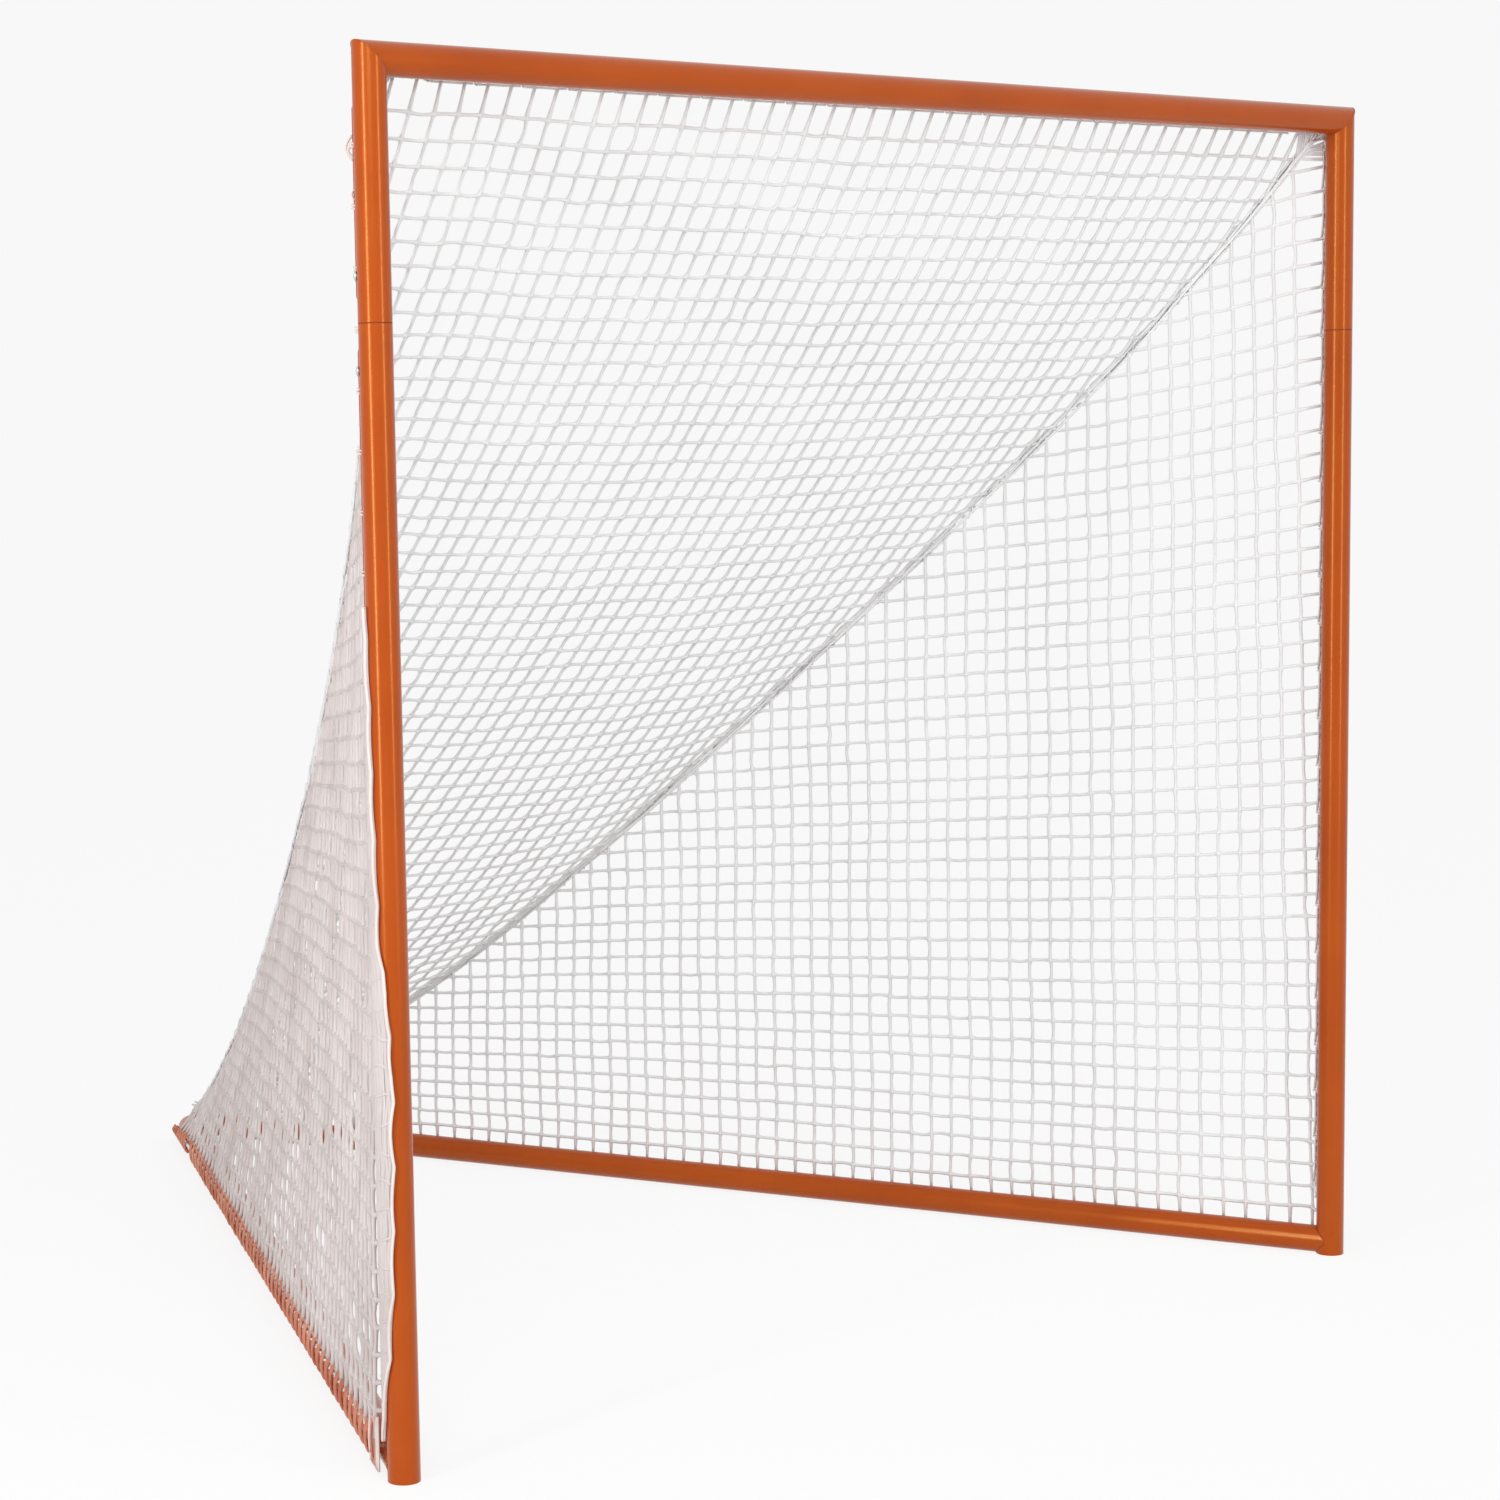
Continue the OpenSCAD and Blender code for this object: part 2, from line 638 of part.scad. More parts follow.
ridge_cord(1);  // right_ridge_cord
top_edge_cord();
post_edge_cord(-1);  // left_post_edge_cord
post_edge_cord(1);  // right_post_edge_cord
base_edge_cord(-1);  // left_base_edge_cord
base_edge_cord(1);  // right_base_edge_cord
crossbar_lace();
post_lace(-1);  // left_post_lace
post_lace(1);  // right_post_lace
rail_lace(-1);  // left_rail_lace
rail_lace(1);  // right_rail_lace
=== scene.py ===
# A field lacrosse goal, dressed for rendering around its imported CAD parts.
# Metres throughout: X across the mouth, Y behind it, Z up.
import bpy
import math
import numpy as np
from mathutils import Matrix, Vector


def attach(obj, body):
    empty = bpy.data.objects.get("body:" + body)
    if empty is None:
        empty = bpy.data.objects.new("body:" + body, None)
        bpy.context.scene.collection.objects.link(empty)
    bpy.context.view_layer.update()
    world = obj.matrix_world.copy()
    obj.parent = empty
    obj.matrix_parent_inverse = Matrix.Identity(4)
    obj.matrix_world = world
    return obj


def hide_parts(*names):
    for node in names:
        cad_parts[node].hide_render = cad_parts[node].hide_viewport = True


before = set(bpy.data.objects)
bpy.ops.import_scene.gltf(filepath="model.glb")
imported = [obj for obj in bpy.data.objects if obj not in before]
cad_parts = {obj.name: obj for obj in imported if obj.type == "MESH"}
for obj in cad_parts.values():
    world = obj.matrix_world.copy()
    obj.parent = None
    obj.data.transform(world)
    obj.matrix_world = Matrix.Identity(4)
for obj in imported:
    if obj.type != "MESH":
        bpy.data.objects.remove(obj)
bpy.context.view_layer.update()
rng = np.random.default_rng(11)
SIDES = ((-1, "left"), (1, "right"))

# ---- sizes, as in the part's source ----
TUBE_R = 0.022225
MOUTH = 1.8288
DEPTH = 2.1336
SEAM_H = 1.520
BEND_INNER = 0.008       # inner radius of the rear bend
REAR_ARM = 0.250         # straight arms of the rear bend
JOINT_CLEAR = 0.030      # bars stop this far from a rear joint
APEX_CLEAR = 0.015       # and this far from the bend itself
BAR_R = 0.003175
BAR_GAP = 0.005          # between a tube and its bar
EDGE_R = 0.0035
RIDGE_R = 0.006
RIDGE_SHORT = 0.004      # the ridges end this far in front of the apex
MESH = 0.0381
SNUG = 0.0003
WELD_GAP = 0.0001
BAR_TURN = math.radians(20)
CORD_TURN = math.radians(27)
POST_BAR_TURN = math.radians(8)

# ---- places that follow from the sizes ----
POST_X = MOUTH / 2 + TUBE_R
BAR_Z = MOUTH + TUBE_R
RAIL_Z = TUBE_R
BEND_R = TUBE_R + BEND_INNER
BEND_Y = DEPTH - 2 * TUBE_R - BEND_R
APEX_Y = BEND_Y + BEND_R
RAIL_TURN = math.atan2(POST_X, BEND_Y) - math.asin(BEND_R / math.hypot(POST_X, BEND_Y))
RAIL_LEN = math.sqrt(POST_X ** 2 + BEND_Y ** 2 - BEND_R ** 2)
RAIL_WAY = np.array([-math.sin(RAIL_TURN), math.cos(RAIL_TURN), 0])
RAIL_OUT = np.array([math.cos(RAIL_TURN), math.sin(RAIL_TURN), 0])
REAR_JOINT = RAIL_LEN - REAR_ARM
BAR_OFF = TUBE_R + BAR_GAP + BAR_R
CORD_STEP = BAR_R + EDGE_R + SNUG
CORNER = 1.5 * 2 * TUBE_R
SLOPE = math.atan2(MOUTH, DEPTH)
CROSS_RUN = MOUTH - 2 * CORNER
POST_START = 4 * TUBE_R
POST_RUN = MOUTH - CORNER / 2 - POST_START
RAIL_START = CORNER
RAIL_RUN = REAR_JOINT - JOINT_CLEAR - RAIL_START
REAR_START = REAR_JOINT + JOINT_CLEAR
REAR_RUN = RAIL_LEN - APEX_CLEAR - REAR_START

TOP_BAR = np.array([0, BAR_OFF * math.cos(BAR_TURN), BAR_Z - BAR_OFF * math.sin(BAR_TURN)])
TOP_CORD = TOP_BAR + CORD_STEP * np.array([0, math.cos(SLOPE), -math.sin(SLOPE)])
RIDGE_TOP = np.array([POST_X - TUBE_R, TOP_CORD[1] + EDGE_R,
                      TOP_CORD[2] - RIDGE_R - EDGE_R - SNUG])
RIDGE_END = np.array([RIDGE_R + SNUG, APEX_Y - RIDGE_SHORT, 2 * TUBE_R + RIDGE_R + SNUG])
RIDGE_WAY = (RIDGE_END - RIDGE_TOP) / np.linalg.norm(RIDGE_END - RIDGE_TOP)
DRAW_WAY = np.array([-RIDGE_WAY[1], RIDGE_WAY[0], 0]) / math.hypot(RIDGE_WAY[0], RIDGE_WAY[1])
SAG_WAY = np.cross(DRAW_WAY, RIDGE_WAY)
POST_CORD = (BAR_OFF - CORD_STEP * math.sin(CORD_TURN), CORD_STEP * math.cos(CORD_TURN))
SIDE_TOP = RIDGE_TOP[2]
# how far the ridges hang inwards and down, and how the hang leans to one end or fills the ends
RIDGE_DRAW = 0.065
DRAW_LEAN = 0.9
RIDGE_SAG = 0.137
SAG_LEAN = 0.45
SAG_FULL = 0.55
BACK_SAG = 0.025


def by_post(behind, inwards, z, side):
    """A point beside a post, whose bars are turned outwards from straight behind it."""
    sin, cos = math.sin(POST_BAR_TURN), math.cos(POST_BAR_TURN)
    x = side * (POST_X + behind * sin - inwards * cos)
    return np.array([x, behind * cos + inwards * sin, z])


def by_rail(s, out, up, side):
    """A point beside a base rail, s along it, measured outwards and upwards from its axis."""
    p = np.array([POST_X, 0, RAIL_Z + up]) + RAIL_WAY * s + RAIL_OUT * out
    return p * np.array([side, 1, 1])


def ridge(t, side):
    """A point on a ridge, from 0 at the crossbar to 1 at the apex."""
    hang = 4 * t * (1 - t)
    draw = RIDGE_DRAW * hang * (1 - DRAW_LEAN * (t - 0.5))
    sag = RIDGE_SAG * hang * (1 + SAG_LEAN * (t - 0.5) + SAG_FULL * (1 - hang))
    p = RIDGE_TOP + (RIDGE_END - RIDGE_TOP) * t + DRAW_WAY * draw + SAG_WAY * sag
    return p * np.array([side, 1, 1])


def srgb(r, g, b):
    """A colour given from 0 to 255, as the linear RGBA that sockets take."""
    return tuple(((c / 255 + 0.055) / 1.055) ** 2.4 if c > 10 else c / 255 / 12.92
                 for c in (r, g, b)) + (1.0,)


# ---- camera ----
CAMERA_AT = (-3.2927, -3.4693, 1.3561)
CAMERA_YAW = math.radians(36.164)
CAMERA_PITCH = math.radians(6.744)
CAMERA_ROLL = math.radians(-1.206)
SENSOR = 36              # sensor and lens in millimetres
LENS = 78.072
SHIFT_X = 1 / 6          # shift as shares of the picture's width
SHIFT_Y = 17 / 300


def make_camera():
    sin_y, cos_y = math.sin(CAMERA_YAW), math.cos(CAMERA_YAW)
    sin_p, cos_p = math.sin(CAMERA_PITCH), math.cos(CAMERA_PITCH)
    sin_r, cos_r = math.sin(CAMERA_ROLL), math.cos(CAMERA_ROLL)
    forward = Vector((sin_y * cos_p, cos_y * cos_p, -sin_p))
    level_right = Vector((cos_y, -sin_y, 0))
    level_up = level_right.cross(forward)
    right = cos_r * level_right + sin_r * level_up
    up = -sin_r * level_right + cos_r * level_up
    data = bpy.data.cameras.new("camera")
    cam = bpy.data.objects.new("camera", data)
    cam.matrix_world = Matrix([(right[k], up[k], -forward[k], CAMERA_AT[k]) for k in range(3)]
                              + [(0, 0, 0, 1)])
    data.sensor_width = SENSOR
    data.lens = LENS
    data.shift_x = SHIFT_X
    data.shift_y = SHIFT_Y
    data.clip_end = 100
    bpy.context.scene.collection.objects.link(cam)
    bpy.context.scene.camera = cam


make_camera()


# ---- materials ----
def new_material(name):
    mat = bpy.data.materials.new(name)
    mat.use_nodes = True
    nodes, links = mat.node_tree.nodes, mat.node_tree.links
    return mat, nodes, links, nodes["Principled BSDF"]


def math_node(nodes, operation, value=None):
    node = nodes.new("ShaderNodeMath")
    node.operation = operation
    if value is not None:
        node.inputs[1].default_value = value
    return node


def noise(nodes, links, vector, scale, detail=3.0, rough=0.5):
    n = nodes.new("ShaderNodeTexNoise")
    n.inputs["Scale"].default_value = scale
    n.inputs["Detail"].default_value = detail
    n.inputs["Roughness"].default_value = rough
    links.new(vector, n.inputs["Vector"])
    return n.outputs["Fac"]


def ramp(nodes, links, fac, stops):
    r = nodes.new("ShaderNodeValToRGB")
    el = r.color_ramp.elements
    while len(el) < len(stops):
        el.new(0.5)
    for e, (pos, col) in zip(el, stops):
        e.position = pos
        e.color = col
    links.new(fac, r.inputs["Fac"])
    return r.outputs["Color"]


def bump(nodes, links, height, strength, distance, normal=None):
    b = nodes.new("ShaderNodeBump")
    b.inputs["Strength"].default_value = strength
    b.inputs["Distance"].default_value = distance
    links.new(height, b.inputs["Height"])
    if normal is not None:
        links.new(normal, b.inputs["Normal"])
    return b.outputs["Normal"]


def paint_material(name, tone=1.0):
    """Orange gloss powder coat: slow colour drift, orange peel, faint scuffs."""
    mat, nodes, links, bsdf = new_material(name)
    where = nodes.new("ShaderNodeTexCoord").outputs["Object"]
    drift = noise(nodes, links, where, scale=3.2, detail=4.0, rough=0.55)
    base = ramp(nodes, links, drift, [
        (0.30, srgb(162 * tone, 61 * tone, 15 * tone)),
        (0.52, srgb(171 * tone, 68 * tone, 17 * tone)),
        (0.75, srgb(179 * tone, 75 * tone, 20 * tone)),
    ])
    scuffs = noise(nodes, links, where, scale=46, detail=6.0, rough=0.7)
    marks = ramp(nodes, links, scuffs, [(0.66, (0, 0, 0, 1)), (0.74, (0.35, 0.35, 0.35, 1))])
    mix = nodes.new("ShaderNodeMix")
    mix.data_type = "RGBA"
    mix.inputs["B"].default_value = srgb(152, 56, 16)
    links.new(marks, mix.inputs["Factor"])
    links.new(base, mix.inputs["A"])
    links.new(mix.outputs["Result"], bsdf.inputs["Base Color"])
    rough = nodes.new("ShaderNodeMapRange")
    rough.inputs["To Min"].default_value = 0.19
    rough.inputs["To Max"].default_value = 0.29
    links.new(noise(nodes, links, where, scale=19), rough.inputs["Value"])
    links.new(rough.outputs["Result"], bsdf.inputs["Roughness"])
    peel = noise(nodes, links, where, scale=420, detail=2.0)
    links.new(bump(nodes, links, peel, strength=0.10, distance=0.0006), bsdf.inputs["Normal"])
    bsdf.inputs["Coat Weight"].default_value = 0.05
    bsdf.inputs["Coat Roughness"].default_value = 0.13
    bsdf.inputs["Specular IOR Level"].default_value = 0.70
    bsdf.inputs["Specular Tint"].default_value = (1.0, 0.56, 0.17, 1)
    return mat


def steel_material(name, shade):
    """Zinc-grey steel with a fine grain."""
    mat, nodes, links, bsdf = new_material(name)
    where = nodes.new("ShaderNodeTexCoord").outputs["Object"]
    grain = noise(nodes, links, where, scale=160, detail=5.0, rough=0.6)
    links.new(ramp(nodes, links, grain, [
        (0.3, (shade * 0.8, shade * 0.8, shade * 0.82, 1)),
        (0.7, (shade, shade, shade * 1.01, 1)),
    ]), bsdf.inputs["Base Color"])
    bsdf.inputs["Metallic"].default_value = 1.0
    bsdf.inputs["Roughness"].default_value = 0.34
    links.new(bump(nodes, links, grain, strength=0.15, distance=0.0004), bsdf.inputs["Normal"])
    return mat


CORD_PLIES = 3


def cord_material(name, light, dark, turns):
    """Twisted cord, with painted shade in the grooves between its plies. Its UV runs along the
    cord in metres and once round it.
    """
    mat, nodes, links, bsdf = new_material(name)
    coord = nodes.new("ShaderNodeTexCoord")
    split = nodes.new("ShaderNodeSeparateXYZ")
    links.new(coord.outputs["UV"], split.inputs["Vector"])
    lay = math_node(nodes, "MULTIPLY_ADD", turns)
    links.new(split.outputs["X"], lay.inputs[0])
    links.new(split.outputs["Y"], lay.inputs[2])
    plies = math_node(nodes, "MULTIPLY", CORD_PLIES * 2 * math.pi)
    links.new(lay.outputs[0], plies.inputs[0])
    wave = math_node(nodes, "SINE")
    links.new(plies.outputs[0], wave.inputs[0])
    soft = nodes.new("ShaderNodeMapRange")
    soft.inputs["From Min"].default_value = -1
    soft.inputs["From Max"].default_value = 1
    links.new(wave.outputs[0], soft.inputs["Value"])
    where = coord.outputs["Object"]
    blotch = noise(nodes, links, where, scale=7, detail=4.0, rough=0.6)
    base = ramp(nodes, links, blotch, [(0.32, dark), (0.62, light)])
    # painted shade: the colour is darkened in the twist's grooves between the plies
    groove = nodes.new("ShaderNodeMix")
    groove.data_type = "RGBA"
    groove.blend_type = "MULTIPLY"
    groove.inputs["Factor"].default_value = 0.22
    links.new(base, groove.inputs["A"])
    links.new(ramp(nodes, links, soft.outputs["Result"], [
        (0.0, (0.55, 0.54, 0.53, 1)), (0.45, (1, 1, 1, 1))]), groove.inputs["B"])
    links.new(groove.outputs["Result"], bsdf.inputs["Base Color"])
    bsdf.inputs["Roughness"].default_value = 0.78
    bsdf.inputs["Sheen Weight"].default_value = 0.25
    bsdf.inputs["Sheen Roughness"].default_value = 0.5
    fuzz = noise(nodes, links, where, scale=900, detail=2.0)
    twist = bump(nodes, links, soft.outputs["Result"], strength=0.6, distance=0.0006)
    links.new(bump(nodes, links, fuzz, strength=0.25, distance=0.0004, normal=twist),
              bsdf.inputs["Normal"])
    return mat


def groove_material(name):
    """The shadowed paint in a joint line."""
    mat, *_, bsdf = new_material(name)
    bsdf.inputs["Base Color"].default_value = srgb(112, 46, 18)
    bsdf.inputs["Roughness"].default_value = 0.6
    return mat


PAINT = paint_material("orange_powder_coat")
WELD = paint_material("painted_weld", 0.96)
ROD = paint_material("painted_rod", 0.98)
SLEEVE = steel_material("sleeve_steel", 0.56)
SCREW = steel_material("screw_steel", 0.68)
NET = cord_material("net_cord", srgb(243, 243, 243), srgb(234, 233, 233), 160)
SEAM = cord_material("seam_cord", srgb(250, 250, 250), srgb(243, 242, 242), 70)
# a darker, pinkish copy of the net cord for the left side and its flap: painted shade, and painted
# orange light thrown from the frame
NET_PAINTED_SHADE = cord_material("net_cord_painted_shade", srgb(222, 213, 211), srgb(207, 195, 192), 160)
RAIL_LACE = cord_material("rail_lace_cord", srgb(226, 154, 124), srgb(190, 96, 62), 190)
LACE = cord_material("lace_cord", srgb(243, 234, 230), srgb(231, 217, 211), 190)
GROOVE = groove_material("joint_groove")


# ---- mesh building ----
class Bag:
    """Collects tubes into one mesh with UVs in metres along each tube."""

    def __init__(self):
        self.verts, self.quads, self.uvs, self.count = [], [], [], 0

    def tube(self, path, radii, sides=6, up=(0, 0, 1), closed_ends=True):
        path = np.asarray(path, float)
        n = len(path)
        radii = np.broadcast_to(np.asarray(radii, float), (n,))
        way = np.empty_like(path)
        way[1:-1] = path[2:] - path[:-2]
        way[0], way[-1] = path[1] - path[0], path[-1] - path[-2]
        way /= np.linalg.norm(way, axis=1)[:, None] + 1e-12
        # carry the side vector along the path
        side = np.empty_like(path)
        s = np.cross(way[0], np.asarray(up, float))
        if np.linalg.norm(s) < 1e-6:
            s = np.cross(way[0], (1.0, 0.0, 0.0))
        for k in range(n):
            s = s - way[k] * s.dot(way[k])
            s = s / (np.linalg.norm(s) + 1e-12)
            side[k] = s
        other = np.cross(side, way)
        steps = np.concatenate([[0], np.cumsum(np.linalg.norm(np.diff(path, axis=0), axis=1))])
        ang = (2 * np.pi * np.arange(sides) / sides)[None, :, None]
        ring = path[:, None, :] + radii[:, None, None] * (
            side[:, None, :] * np.cos(ang) + other[:, None, :] * np.sin(ang))
        base = self.count
        self.verts.append(ring.reshape(-1, 3))
        a = base + (np.arange(n - 1)[:, None] * sides + np.arange(sides)[None, :]).ravel()
        nxt = (np.arange(sides) + 1) % sides
        b = base + (np.arange(n - 1)[:, None] * sides + nxt[None, :]).ravel()
        self.quads.append(np.stack([a, b, b + sides, a + sides], 1))
        u0 = np.repeat(steps[:-1], sides)
        u1 = np.repeat(steps[1:], sides)
        v0 = np.tile(np.arange(sides) / sides, n - 1)
        v1 = np.tile((np.arange(sides) + 1) / sides, n - 1)
        self.uvs.append(np.stack([u0, v0, u0, v1, u1, v1, u1, v0], 1).reshape(-1, 2))
        self.count += n * sides
        if closed_ends:
            for first in (base, base + (n - 1) * sides):
                ids = np.arange(first, first + sides)
                if first != base:
                    ids = ids[::-1]
                for k in range(1, sides - 2, 2):
                    self.quads.append(np.array([[ids[0], ids[k + 2], ids[k + 1], ids[k]]]))
                    self.uvs.append(np.zeros((4, 2)))

    def make(self, name, material):
        verts = np.concatenate(self.verts)
        quads = np.concatenate(self.quads).astype(np.int32)
        uvs = np.concatenate(self.uvs)
        mesh = bpy.data.meshes.new(name)
        mesh.vertices.add(len(verts))
        mesh.vertices.foreach_set("co", verts.ravel())
        mesh.loops.add(len(quads) * 4)
        mesh.loops.foreach_set("vertex_index", quads.ravel())
        mesh.polygons.add(len(quads))
        mesh.polygons.foreach_set("loop_start", np.arange(len(quads), dtype=np.int32) * 4)
        layer = mesh.uv_layers.new(name="along")
        layer.data.foreach_set("uv", uvs.ravel())
        mesh.update(calc_edges=True)
        mesh.validate()
        mesh.polygons.foreach_set("use_smooth", np.ones(len(mesh.polygons), dtype=bool))
        obj = bpy.data.objects.new(name, mesh)
        bpy.context.scene.collection.objects.link(obj)
        mesh.materials.append(material)
        return obj


def finish_piece(obj, *nodes, slot="net_cord"):
    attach(obj, "root")
    if nodes:
        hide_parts(*nodes)


def blended(start, end, bow, count):
    """A path of count points from start to end, bowed by bow at its middle."""
    f = np.linspace(0, 1, count)[:, None]
    return start * (1 - f) + end * f + bow * 4 * f * (1 - f)


# ---- the net ----
CORD_R = 0.0026
SIDE_R = {-1: 0.0031, 1: 0.0028}
# how far over its CAD height each side net's lower edge is laced, and the run before the apex
# over which this fades out
EDGE_RISE = {-1: 0.020, 1: 0.0}
EDGE_FADE = 0.25
# a cord from one knot to the next: shares of the way, and its radius there as a multiple
KNOT_AT = np.array([0.0, 0.09, 0.20, 0.50, 0.80, 0.91])
KNOT_R = np.array([1.42, 1.22, 1.0, 0.94, 1.0, 1.22])
LAST_KNOT_R = 1.3
END_R = 0.97
SLACK = 0.0010
SLACK_DOWN = 0.6
# how far the mesh wanders from its even grid, and how fast
WANDER = 0.0017
WANDER_PACE = 2.0
WANDER_WAVES = ((7.1, 5.3, 6.7), (13.7, 11.9, 12.3), (23.3, 19.1, 21.7))
# least room left between the last knots and the edges
COL_ROOM = 0.02
ROW_ROOM = 0.012
RIDGE_ROOM = 0.006
SHORT_ROW = 0.01
# the width in which the back's columns crowd towards the ridges: at the top, its growth, and
# its most as a share of the back's half width
CROWD_TOP = 0.012
CROWD_GROWTH = 0.055
CROWD_MOST = 0.7
BACK_LEN = float(np.linalg.norm(RIDGE_END - RIDGE_TOP * np.array([0, 1, 1])))


def wandered(p):
    """A knot moved a little from its even place, smoothly and the same each time."""
    out = np.zeros_like(p)
    for k, (fx, fy, fz) in enumerate(WANDER_WAVES):
        a = p[0] * fx * WANDER_PACE + p[1] * fy * WANDER_PACE + p[2] * fz * WANDER_PACE
        out += np.array([np.sin(a + 1.3 * k), np.sin(a * 1.13 + 2.1 + k),
                         np.cos(a * 0.91 + 0.7 * k)]) / (k + 1.5)
    return p + out * WANDER


def strand(bag, knots, start=None, end=None, r=CORD_R):
    """One cord through a row of knots, with a lump at each and a little slack between."""
    knots = np.asarray(knots, float)
    pts, rad = [], []
    if start is not None:
        pts += [start, start + (knots[0] - start) * 0.5]
        rad += [r, r * END_R]
    for a, b in zip(knots[:-1], knots[1:]):
        drop = rng.normal(0, 1, 3) * SLACK
        drop[2] -= SLACK * SLACK_DOWN
        for f, k in zip(KNOT_AT, KNOT_R):
            pts.append(a + (b - a) * f + drop * 4 * f * (1 - f))
            rad.append(r * k)
    pts.append(knots[-1])
    rad.append(r * LAST_KNOT_R)
    if end is not None:
        pts += [knots[-1] + (end - knots[-1]) * 0.5, end]
        rad += [r * END_R, r]
    bag.tube(pts, rad)


def edge_step(s, side):
    """Height of the lower edge cord over the rail's axis; the rise fades towards the apex."""
    return CORD_STEP + EDGE_RISE[side] * min(1, max(0, (RAIL_LEN - s) / EDGE_FADE))


def base_point(s, side):
    """A point on the lower edge cord."""
    return by_rail(s, BAR_OFF, edge_step(s, side), side)


def side_height(s, side):
    """Height of the side net's flat cut over its lower edge."""
    return (SIDE_TOP - base_point(0, side)[2]) * (1 - s / RAIL_LEN)


def side_point(s, z, side):
    low = base_point(s, side)
    return low + (ridge(s / RAIL_LEN, side) - low) * (z / side_height(s, side))


def side_panel(side, word):
    bag = Bag()
    full = side_height(0, side)
    cols = range(1, int((RAIL_LEN - COL_ROOM) / MESH) + 1)
    rows = range(1, int(full / MESH) + 1)
    grid = {}
    for i in cols:
        s = i * MESH
        for j in range(1, int((side_height(s, side) - ROW_ROOM) / MESH) + 1):
            grid[i, j] = wandered(side_point(s, j * MESH, side))
    for i in cols:
        s = i * MESH
        knots = [grid[i, j] for j in rows if (i, j) in grid]
        if knots:
            strand(bag, knots, base_point(s, side), ridge(s / RAIL_LEN, side), SIDE_R[side])
    for j in rows:
        s_end = RAIL_LEN * (1 - j * MESH / full)
        start = by_post(*POST_CORD, base_point(0, side)[2] + j * MESH, side)
        end = ridge(min(1, s_end / RAIL_LEN), side)
        knots = [grid[i, j] for i in cols if (i, j) in grid]
        if knots:
            strand(bag, knots, start, end, SIDE_R[side])
        elif s_end > SHORT_ROW:
            strand(bag, [start, end], r=SIDE_R[side])
    # the left side net takes the cord copy with painted shade and painted orange reflected light
    obj = bag.make("net_" + word + "_side", NET_PAINTED_SHADE if side < 0 else NET)
    finish_piece(obj, "net_" + word + "_panel")


def back_reach(t):
    """Half width of the back net."""
    return RIDGE_TOP[0] * (1 - t) + RIDGE_END[0] * t


def back_point(x, t):
    u = x / back_reach(t)
    left, right = ridge(t, -1), ridge(t, 1)
    p = left + (right - left) * (u + 1) / 2
    p[2] -= BACK_SAG * 4 * t * (1 - t) * (1 - u * u)
    return p


def squeezed(x, reach, crowd):
    """Where a column that would lie at x goes, as columns crowd towards the ridge."""
    edge = reach - crowd
    if abs(x) <= edge:
        return x
    over = abs(x) - edge
    return math.copysign(reach - crowd * math.exp(-over / crowd), x)


def back_panel():
    bag = Bag()
    n_col = int(RIDGE_TOP[0] / MESH)
    cols = range(-n_col, n_col + 1)
    rows = range(1, int((BACK_LEN - COL_ROOM) / MESH) + 1)
    grid = {}
    for j in rows:
        t = j * MESH / BACK_LEN
        reach = back_reach(t)
        crowd = min(CROWD_TOP + CROWD_GROWTH * t, reach * CROWD_MOST)
        for i in cols:
            x = squeezed(i * MESH, reach, crowd)
            if reach - abs(x) >= RIDGE_ROOM:
                grid[i, j] = wandered(back_point(x, t))
    for i in cols:
        js = [j for j in rows if (i, j) in grid]
        if js:
            start = np.array([i * MESH, TOP_CORD[1], TOP_CORD[2]])
            t = min(1, (js[-1] + 1) * MESH / BACK_LEN)
            end = ridge(t, -1 if i < 0 else 1) if i else None
            strand(bag, [grid[i, j] for j in js], start, end)
    for j in rows:
        knots = [grid[i, j] for i in cols if (i, j) in grid]
        t = j * MESH / BACK_LEN
        if knots:
            strand(bag, knots, ridge(t, -1), ridge(t, 1))
    finish_piece(bag.make("net_back", NET), "net_back_panel")


RIDGE_CORDS = 7
RIDGE_CORD_R = 0.0020
RIDGE_SPREAD = (0.0054, 0.0004)    # at the crossbar, and what it loses to the apex
RIDGE_STEPS = 260
LASH_TURNS = 52
LASH_STEPS = 9                     # points in one turn
LASH_ENDS = 0.004                  # share of the ridge left bare at each end
LASH_REACH = 0.0078
LASH_R = 0.0008


def seam(side, word):
    """Gathered seam along a ridge: a loose bundle of cords with a lashing wound round it."""
    bag = Bag()
    ts = np.linspace(0, 1, RIDGE_STEPS)
    core = np.array([ridge(t, side) for t in ts])
    spread = RIDGE_SPREAD[0] - RIDGE_SPREAD[1] * ts
    for k in range(RIDGE_CORDS):
        ang = (k * 2 * np.pi / RIDGE_CORDS + 0.5 * np.sin(ts * 23 + 1.9 * k)
               + 0.3 * np.sin(ts * 61 + k))
        off = np.stack([np.cos(ang) * side, np.sin(ang) * 0.4, np.sin(ang)], -1)
        bag.tube(core + off * spread[:, None], RIDGE_CORD_R)
    finish_piece(bag.make("net_" + word + "_ridge", SEAM), word + "_ridge_cord")

    wrap = Bag()
    ts = np.linspace(LASH_ENDS, 1 - LASH_ENDS, LASH_TURNS * LASH_STEPS)
    core = np.array([ridge(t, side) for t in ts])
    ang = ts * 2 * np.pi * LASH_TURNS
    off = np.stack([np.cos(ang), np.sin(ang) * 0.3, np.sin(ang)], -1) * LASH_REACH
    wrap.tube(core + off, LASH_R, sides=5)
    finish_piece(wrap.make("ridge_lashing_" + word, SEAM), slot="lace_cord")


for side, word in SIDES:
    side_panel(side, word)
    seam(side, word)
back_panel()


# ---- edge cords ----
ROPE_STEP = 0.006
ROPE_LAY = 0.030
# each of the two strands, as shares of the rope's radius
ROPE_STRAND_OFF = 0.45
ROPE_STRAND_R = 0.56


